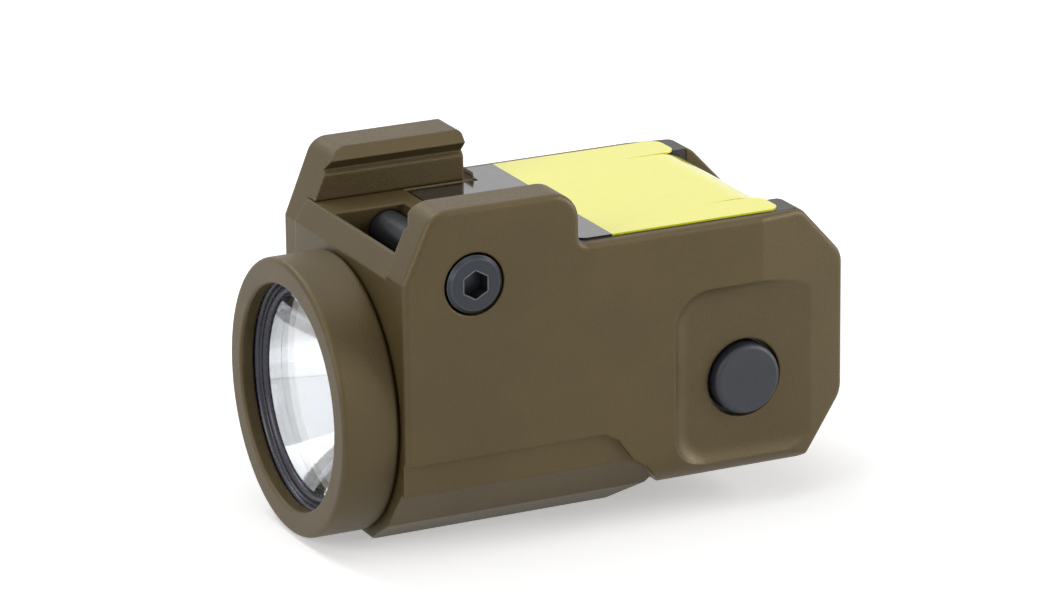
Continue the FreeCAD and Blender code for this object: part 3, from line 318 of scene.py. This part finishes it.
def grained(name, tone, size, rough, strength=0.15, contrast=0.12, rough_spread=0.1, **constants):
    """A moulded, plated or painted finish: one tone with fine grain and broad patches."""
    material, tree, shader = new_material(name, **constants)
    marks = grain(tree, size * MM, strength)
    darker = tuple(part * (1 - contrast) ** 2 for part in tone)
    lighter = tuple(min(1.0, part * (1 + contrast)) for part in tone)
    share = maths(tree, "ADD", maths(tree, "MULTIPLY", marks["Fine"], 0.5),
                  maths(tree, "MULTIPLY", marks["Patch"], 0.5))
    feed(tree, shader, base_color=blend_colours(tree, share, darker, lighter),
         roughness=spread(tree, marks["Fine"], 0.0, 1.0, rough - rough_spread / 2,
                          rough + rough_spread / 2),
         normal=marks["Normal"])
    return material


def give(material, *names):
    """Puts a material on nodes of the frame."""
    for name in names:
        for slot in NODES[name].material_slots:
            slot.material = material


# ---------------------------------------------------------------- mesh pieces

def finished_piece(name, mesh, body, material):
    """A new object from a bmesh, riding on a body and material."""
    bmesh.ops.recalc_face_normals(mesh, faces=mesh.faces)
    data = bpy.data.meshes.new(name)
    mesh.to_mesh(data)
    mesh.free()
    data.shade_smooth()
    piece = bpy.data.objects.new(name, data)
    bpy.context.scene.collection.objects.link(piece)
    piece.data.materials.append(material)
    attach(piece, body)
    return piece


def spun(profile, height, segments=SEGMENTS):
    """A bmesh of a closed profile of (x, radius) points turned about the beam axis."""
    mesh = bmesh.new()
    points = [mesh.verts.new((x, 0, height + radius)) for x, radius in profile]
    edges = [mesh.edges.new(pair) for pair in zip(points, points[1:] + points[:1])]
    bmesh.ops.spin(mesh, geom=points + edges, cent=(0, 0, height), axis=(1, 0, 0),
                   angle=FULL_TURN, steps=segments, use_merge=True)
    bmesh.ops.remove_doubles(mesh, verts=mesh.verts, dist=0.001 * MM)
    return mesh


def arc(centre, radius, start, end, count):
    """Points on an arc in the profile plane, angles in degrees from the beam axis."""
    step = (end - start) / (count - 1)
    return [(centre[0] + radius * math.cos(math.radians(start + step * i)),
             centre[1] + radius * math.sin(math.radians(start + step * i)))
            for i in range(count)]


def soft_edges(piece, degrees=35):
    """Smooth shading that keeps the edges sharper than an angle."""
    piece.data.set_sharp_from_angle(angle=math.radians(degrees))


def middle_height(name):
    """Height of the middle of a node, and half its height."""
    low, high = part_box(name)
    return (low[2] + high[2]) / 2, (high[2] - low[2]) / 2


# ---------------------------------------------------------------- finishes

def bronze_material(settings):
    """Blasted and anodised metal, with a painted highlight along its rounded edges."""
    material, tree, shader = new_material("bronze_anodised", metallic=0.38)
    marks = grain(tree, settings.grain, settings.roughening)
    share = maths(tree, "ADD", maths(tree, "MULTIPLY", marks["Patch"], 0.6),
                  maths(tree, "MULTIPLY", marks["Fine"], 0.4))
    base = blend_colours(tree, share, settings.bronze_dark, settings.bronze)
    # Painted highlight: convex edges are lightened towards the edge tone, in place of the light that
    # rounded edges catch
    painted_edge_highlight = maths(tree, "MULTIPLY", edge_mask(tree, settings.painted_highlight_reach), 0.3)
    feed(tree, shader, base_color=blend_colours(tree, painted_edge_highlight, base, settings.painted_highlight_bronze),
         roughness=spread(tree, marks["Fine"], 0.0, 1.0, 0.4, 0.52),
         normal=soft_normal(tree, settings.corner, settings.grain, settings.roughening))
    return material


def film_material(settings):
    """Glossy blank film with two plain fields."""
    material, tree, shader = new_material("film_gloss", coat_weight=0.7, coat_roughness=0.04)
    where = add(tree, "ShaderNodeTexCoord").outputs["Object"]
    place = add(tree, "ShaderNodeSeparateXYZ", {0: where}).outputs["X"]
    marks = grain(tree, 1.4 * MM, 0.012)
    front = maths(tree, "GREATER_THAN", place, settings.film_split)
    rear_tone = blend_colours(tree, maths(tree, "MULTIPLY", marks["Patch"], 0.25),
                              settings.film_rear, srgb(252, 242, 50))
    feed(tree, shader, base_color=blend_colours(tree, front, rear_tone, settings.film_front),
         roughness=spread(tree, marks["Fine"], 0.0, 1.0, 0.12, 0.2), normal=marks["Normal"])
    return material


def clear_material(name, tint, rough_low, rough_high, refraction):
    """Clear glass or moulded optic with faint variation in its polish."""
    material, tree, shader = new_material(name, transmission_weight=1.0, ior=refraction)
    marks = grain(tree, 0.6 * MM, 0.004)
    feed(tree, shader, base_color=blend_colours(tree, marks["Patch"], tint, (1.0, 1.0, 1.0)),
         roughness=spread(tree, marks["Fine"], 0.0, 1.0, rough_low, rough_high),
         normal=marks["Normal"])
    return material


def turned_steel_material(name, tone, node):
    """Blackened steel with turning lines round its own axis, and a painted highlight along its convex
    edges.
    """
    low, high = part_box(node)
    material, tree, shader = new_material(name, metallic=0.75)
    lines = turning(tree, (low[0] + high[0]) / 2, (low[2] + high[2]) / 2, 9000.0)
    share = spread(tree, lines["Value"], 0.3, 0.7)
    darker = tuple(part * 0.8 for part in tone)
    base = blend_colours(tree, share, darker, tone)
    # Painted highlight: convex edges are lightened towards pale steel, in place of the light that the
    # chamfers catch
    painted_edge_highlight = maths(tree, "MULTIPLY", edge_mask(tree, 0.2 * MM), 0.35)
    feed(tree, shader, base_color=blend_colours(tree, painted_edge_highlight, base, srgb(178, 184, 192)),
         roughness=spread(tree, lines["Value"], 0.3, 0.7, 0.3, 0.42), normal=lines["Normal"])
    return material


# ---------------------------------------------------------------- operators

class RAILLIGHT_OT_shell(bpy.types.Operator):
    """Gives the housing, bezel and clamp jaw their anodised finish"""
    bl_idname = "raillight.shell"
    bl_label = "Shell"

    def execute(self, context):
        give(bronze_material(context.scene.rail_shell), "housing", "bezel_ring", "clamp_jaw")
        return {"FINISHED"}


class RAILLIGHT_OT_head(bpy.types.Operator):
    """Makes the ribbed seal and the emitter's dome, and finishes the lens and optic"""
    bl_idname = "raillight.head"
    bl_label = "Head"

    def execute(self, context):
        settings = context.scene.rail_head
        rubber = grained("seal_rubber", settings.seal, 0.25, 0.3, strength=0.05)
        give(rubber, "bezel_seal", "head_o_ring")
        glass = clear_material("lens_glass", (0.97, 0.985, 1.0), 0.0, 0.01, 1.5)
        polish = grained("reflector_polish", srgb(238, 240, 243), 0.8, 0.05, strength=0.003,
                         contrast=0.02, rough_spread=0.03, metallic=1.0)
        give(glass, "front_lens")
        give(polish, "optic")
        self.make_seal(rubber, settings)
        self.make_lens(settings, glass)
        self.make_reflector(settings, polish)
        self.make_dome(settings)
        return {"FINISHED"}

    def make_seal(self, rubber, settings):
        """Rubber ring with a rounded lip, a groove and a lower inner lip."""
        low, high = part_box("bezel_seal")
        height, outer = middle_height("bezel_seal")
        back, face = low[0], high[0]
        lip = (outer - settings.seal_bore) / 2
        profile = [(back, outer), (back, settings.seal_bore)]
        round_size = lip * 0.5
        for place, drop in ((settings.seal_bore + lip * 0.5, 0.55),
                            (settings.seal_bore + lip * 1.5, 0.1)):
            centre = (face - drop * lip - round_size, place)
            profile += arc(centre, round_size * 0.98, -80, 80, 9)
        piece = finished_piece("seal_ring", spun(profile, height), "root", rubber)
        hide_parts("bezel_seal")

    def make_lens(self, settings, glass):
        """Flat glass with a ground bevel on both rims."""
        low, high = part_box("front_lens")
        height, outer = middle_height("front_lens")
        edge, slack = settings.lens_edge, 0.02 * MM
        back, face = low[0] + slack, high[0] - slack
        profile = [(face, 0.0), (face, outer - edge), (face - edge, outer),
                   (back + edge, outer), (back, outer - edge), (back, 0.0)]
        piece = finished_piece("lens_disc", spun(profile, height), "root", glass)
        soft_edges(piece)
        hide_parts("front_lens")

    def make_reflector(self, settings, polish):
        """Polished cup whose inside is a paraboloid round the emitter."""
        low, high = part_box("optic")
        height, outer = middle_height("optic")
        slack = 0.03 * MM
        front, back = high[0] - slack, low[0]
        steps = 24
        growth = settings.mouth ** 2 - settings.throat ** 2

        def inside(share):
            return (back + share * (front - back),
                    math.sqrt(settings.throat ** 2 + growth * share))

        bowl = [inside(count / steps) for count in range(steps + 1)]
        shell = [(x, radius + settings.cup_wall) for x, radius in reversed(bowl[:-2])]
        flange = [(front, outer), (front - 2 * settings.cup_wall, outer)]
        piece = finished_piece("reflector_cup", spun(bowl + flange + shell, height), "root",
                               polish)
        soft_edges(piece)
        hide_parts("optic")

    def make_dome(self, settings):
        """Clear dome over the emitter."""
        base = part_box("led_emitter")[1][0]
        height = middle_height("led_emitter")[0]
        profile = [(base, 0.0)] + list(reversed(arc((base, 0.0), settings.dome, 2, 90, 14)))
        material = clear_material("emitter_dome_clear", (1.0, 0.97, 0.85), 0.0, 0.02, 1.45)
        finished_piece("emitter_dome", spun(profile, height, 48), "root", material)


class RAILLIGHT_OT_cover(bpy.types.Operator):
    """Finishes the insert in the top, the charge port, the film and the gasket"""
    bl_idname = "raillight.cover"
    bl_label = "Cover"

    def execute(self, context):
        settings = context.scene.rail_cover
        give(grained("insert_plastic", settings.insert, 0.14, 0.42, strength=0.2), "top_cover",
             "charge_port")
        film = film_material(settings)
        give(film, "cover_film")
        self.make_film(settings, film)
        give(grained("gasket_rubber", srgb(28, 28, 30), 0.2, 0.5), "cover_gasket")
        return {"FINISHED"}

    def make_film(self, settings, material):
        """Film cut with two slits, its corners rounded and its middle tongue rolled down."""
        low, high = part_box("top_cover")
        lift = 0.02 * MM
        top = high[2] + lift
        mesh = self.cut_film(settings, low, high, top)
        knee = low[0] + settings.knee
        start = knee + settings.roll * math.tan(BACK_SLOPE / 2)
        self.roll_down(mesh, settings, start, top)
        bmesh.ops.recalc_face_normals(mesh, faces=mesh.faces)
        upright = sum(face.normal.z for face in mesh.faces)
        if upright < 0:
            bmesh.ops.reverse_faces(mesh, faces=mesh.faces)
        bmesh.ops.solidify(mesh, geom=mesh.faces, thickness=-settings.film_thick)
        piece = finished_piece("film_sheet", mesh, "root", material)
        soft_edges(piece)
        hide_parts("cover_film")

    def cut_film(self, settings, low, high, top):
        """The flat film: one face with rounded corners, cut across where it will bend."""
        inset = settings.film_inset
        half, nose_half = high[1] - inset, settings.nose_half - inset
        nose, wide = high[0] - inset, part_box("cover_gasket")[1][0] - settings.nose_len - inset
        slit, middle = settings.slit_start, settings.tongue_half
        gap, end = settings.slit_half, low[0] - settings.overrun
        side = [(nose, nose_half), (wide, nose_half), (wide, half),
                (settings.tongue_end, half), (settings.tongue_end, middle + gap),
                (slit, middle), (end, middle - gap)]
        outline = side + [(x, -y) for x, y in reversed(side)]
        mesh = bmesh.new()
        points = [mesh.verts.new((x, y, top)) for x, y in outline]
        mesh.faces.new(points)
        rounded = [point for point, (x, y) in zip(points, outline)
                   if x in (nose, settings.tongue_end, end) or abs(y) == half]
        bmesh.ops.bevel(mesh, geom=rounded, affect="VERTICES", offset=settings.corner, segments=6,
                        profile=0.5, material=-1)
        place = low[0] - settings.overrun + 0.1 * MM
        while place < slit:
            bmesh.ops.bisect_plane(mesh, geom=mesh.verts[:] + mesh.edges[:] + mesh.faces[:],
                                   plane_co=(place, 0, 0), plane_no=(1, 0, 0))
            place += settings.strip
        return mesh

    def roll_down(self, mesh, settings, start, top):
        """Bends the middle tongue round the insert's back and on down its 45 degree slope."""
        radius = settings.roll
        turn = BACK_SLOPE
        slack = 0.05 * MM
        for point in mesh.verts:
            run = start - point.co.x
            if run <= 0 or abs(point.co.y) > settings.tongue_half + slack:
                continue
            angle = min(run / radius, turn)
            rest = max(0.0, run - radius * turn)
            point.co.x = start - radius * math.sin(angle) - rest * math.cos(turn)
            point.co.z = top - radius * (1 - math.cos(angle)) - rest * math.sin(turn)


class RAILLIGHT_OT_controls(bpy.types.Operator):
    """Finishes the buttons, their seals and switches, the clamp screw and its guide pins"""
    bl_idname = "raillight.controls"
    bl_label = "Controls"

    def execute(self, context):
        settings = context.scene.rail_controls
        give(grained("button_rubber_matte", settings.button, 0.13, 0.48, strength=0.22),
             "left_button", "right_button")
        give(grained("button_seal_rubber", srgb(24, 24, 26), 0.2, 0.5), "left_button_seal",
             "right_button_seal")
        give(grained("switch_case", srgb(46, 46, 48), 0.15, 0.45), "left_switch", "right_switch")
        give(turned_steel_material("screw_steel", settings.screw, "clamp_screw"), "clamp_screw")
        give(grained("pin_steel", srgb(170, 172, 176), 0.1, 0.3, metallic=1.0), "guide_pins",
             "board_screws", "cover_screws")
        return {"FINISHED"}


class RAILLIGHT_OT_inside(bpy.types.Operator):
    """Finishes the boards, cell, leads and heat sink inside the housing"""
    bl_idname = "raillight.inside"
    bl_label = "Inside"

    def execute(self, context):
        give(grained("solder_mask", srgb(24, 82, 52), 0.3, 0.3), "main_board",
             "left_switch_board", "right_switch_board")
        give(grained("led_board_white", srgb(226, 228, 224), 0.3, 0.35), "led_board")
        give(grained("phosphor", srgb(236, 214, 84), 0.12, 0.6), "led_emitter")
        give(grained("turned_aluminium", srgb(196, 198, 200), 0.12, 0.35, metallic=1.0),
             "heat_sink")
        give(grained("cell_foil", srgb(188, 191, 196), 0.5, 0.28, metallic=1.0), "battery_cell")
        give(grained("nickel_plate", srgb(198, 192, 180), 0.15, 0.22, metallic=1.0),
             "battery_tabs", "charge_magnets")
        give(grained("gold_flash", srgb(222, 186, 108), 0.12, 0.25, metallic=1.0),
             "charge_contacts")
        give(grained("lead_sleeve", srgb(168, 30, 26), 0.2, 0.4), "led_leads")
        give(grained("pad_foam", srgb(70, 70, 72), 0.25, 0.9, strength=0.5), "battery_pad")
        give(grained("component_mould", srgb(42, 42, 44), 0.12, 0.5), "driver_parts")
        give(grained("holder_white", srgb(232, 232, 228), 0.2, 0.5), "optic_holder")
        return {"FINISHED"}


class RAILLIGHT_OT_stage(bpy.types.Operator):
    """Makes the floor, the pale surroundings, the lamps and the camera"""
    bl_idname = "raillight.stage"
    bl_label = "Stage"

    def execute(self, context):
        settings = context.scene.rail_stage
        context.scene.view_settings.view_transform = "Standard"
        self.make_world(context, settings)
        self.make_floor(context, settings)
        self.make_lamps(context, settings)
        self.make_camera(context, settings)
        return {"FINISHED"}

    def seen_share(self, tree):
        """1 for what the camera, glass and metal see of the surroundings, and 0 for their light."""
        path = add(tree, "ShaderNodeLightPath").outputs
        glossy = maths(tree, "MAXIMUM", path["Is Camera Ray"], path["Is Glossy Ray"])
        return maths(tree, "MAXIMUM", glossy, path["Is Transmission Ray"])

    def make_world(self, context, settings):
        """White surroundings that light the object evenly at the ambient strength."""
        world = bpy.data.worlds.new("surroundings")
        world.use_nodes = True
        tree = world.node_tree
        strength = spread(tree, self.seen_share(tree), 0.0, 1.0, settings.ambient, 1.0)
        background = tree.nodes["Background"]
        background.inputs["Color"].default_value = (1, 1, 1, 1)
        tree.links.new(strength, background.inputs["Strength"])
        context.scene.world = world

    def make_floor(self, context, settings):
        """A pale floor that reads as white and keeps the object's shadow."""
        mesh = bmesh.new()
        bmesh.ops.create_grid(mesh, x_segments=1, y_segments=1, size=1.5)
        data = bpy.data.meshes.new("floor")
        mesh.to_mesh(data)
        mesh.free()
        floor = bpy.data.objects.new("floor", data)
        context.scene.collection.objects.link(floor)
        material = bpy.data.materials.new("floor_pale")
        material.use_nodes = True
        tree = material.node_tree
        shader = tree.nodes["Principled BSDF"]
        shader.inputs["Base Color"].default_value = (0.92, 0.92, 0.92, 1)
        shader.inputs["Roughness"].default_value = 0.9
        shader.inputs["Emission Color"].default_value = (1, 1, 1, 1)
        glow = maths(tree, "MULTIPLY", self.seen_share(tree), settings.floor_glow)
        tree.links.new(glow, shader.inputs["Emission Strength"])
        data.materials.append(material)
        floor.location.z = -0.05 * MM

    def make_lamps(self, context, settings):
        """Soft lamps overhead, ahead, behind and on both sides."""
        lamps = {
            "overhead": ((0.05, -0.05, 0.55), 0.6, settings.overhead),
            "lens_side": ((0.6, 0.15, 0.3), 0.4, settings.lens_side),
            "tail_side": ((-0.55, 0.3, 0.25), 0.4, settings.tail_side),
            "far_side": ((0.15, -0.45, 0.6), 0.3, settings.far_side),
            "near_side": ((0.1, 0.7, 0.3), 0.5, settings.near_side),
        }
        for name, (place, side, power) in lamps.items():
            light = bpy.data.lights.new(name, "AREA")
            light.shape = "SQUARE"
            light.size = side
            light.energy = power
            lamp = bpy.data.objects.new(name, light)
            context.scene.collection.objects.link(lamp)
            aim = Vector((0, 0, 0.015)) - Vector(place)
            lamp.matrix_world = (Matrix.Translation(place)
                                 @ aim.to_track_quat("-Z", "Y").to_matrix().to_4x4())

    def make_camera(self, context, settings):
        """The camera on its bearing, turned by its small roll."""
        flat = math.cos(settings.elevation)
        back = Vector((flat * math.sin(settings.azimuth), -flat * math.cos(settings.azimuth),
                       math.sin(settings.elevation)))
        right = Vector((0, 0, 1)).cross(back).normalized()
        right = Matrix.Rotation(settings.roll, 3, back) @ right
        up = back.cross(right)
        lens = bpy.data.cameras.new("camera")
        lens.lens = settings.lens
        camera = bpy.data.objects.new("camera", lens)
        context.scene.collection.objects.link(camera)
        turned = Matrix((right, up, back)).transposed().to_4x4()
        place = Vector(settings.target) + back * settings.distance
        camera.matrix_world = Matrix.Translation(place) @ turned
        context.scene.camera = camera


class RAILLIGHT_PT_panel(bpy.types.Panel):
    """Lists the light's groups of pieces and their settings"""
    bl_idname = "RAILLIGHT_PT_panel"
    bl_label = "Rail Light"
    bl_space_type = "VIEW_3D"
    bl_region_type = "UI"
    bl_category = "Rail Light"

    def draw(self, context):
        for operator, holder in STEPS:
            box = self.layout.box()
            box.operator(operator.bl_idname)
            if holder:
                settings = getattr(context.scene, holder)
                for name in settings.__annotations__:
                    box.prop(settings, name)


HOLDERS = {
    "rail_shell": ShellSettings,
    "rail_head": HeadSettings,
    "rail_cover": CoverSettings,
    "rail_controls": ControlSettings,
    "rail_stage": StageSettings,
}
STEPS = [
    (RAILLIGHT_OT_shell, "rail_shell"),
    (RAILLIGHT_OT_head, "rail_head"),
    (RAILLIGHT_OT_cover, "rail_cover"),
    (RAILLIGHT_OT_controls, "rail_controls"),
    (RAILLIGHT_OT_inside, None),
    (RAILLIGHT_OT_stage, "rail_stage"),
]


def register():
    """Registers the settings, operators and panel."""
    for name, holder in HOLDERS.items():
        bpy.utils.register_class(holder)
        setattr(bpy.types.Scene, name, PointerProperty(type=holder))
    for operator, _ in STEPS:
        bpy.utils.register_class(operator)
    bpy.utils.register_class(RAILLIGHT_PT_panel)


def unregister():
    """Takes the panel, operators and settings away again."""
    bpy.utils.unregister_class(RAILLIGHT_PT_panel)
    for operator, _ in reversed(STEPS):
        bpy.utils.unregister_class(operator)
    for name, holder in HOLDERS.items():
        delattr(bpy.types.Scene, name)
        bpy.utils.unregister_class(holder)


def main():
    """Builds everything in order."""
    register()
    for operator, _ in STEPS:
        group, name = operator.bl_idname.split(".")
        getattr(getattr(bpy.ops, group), name)()


if __name__ == "__main__":
    main()
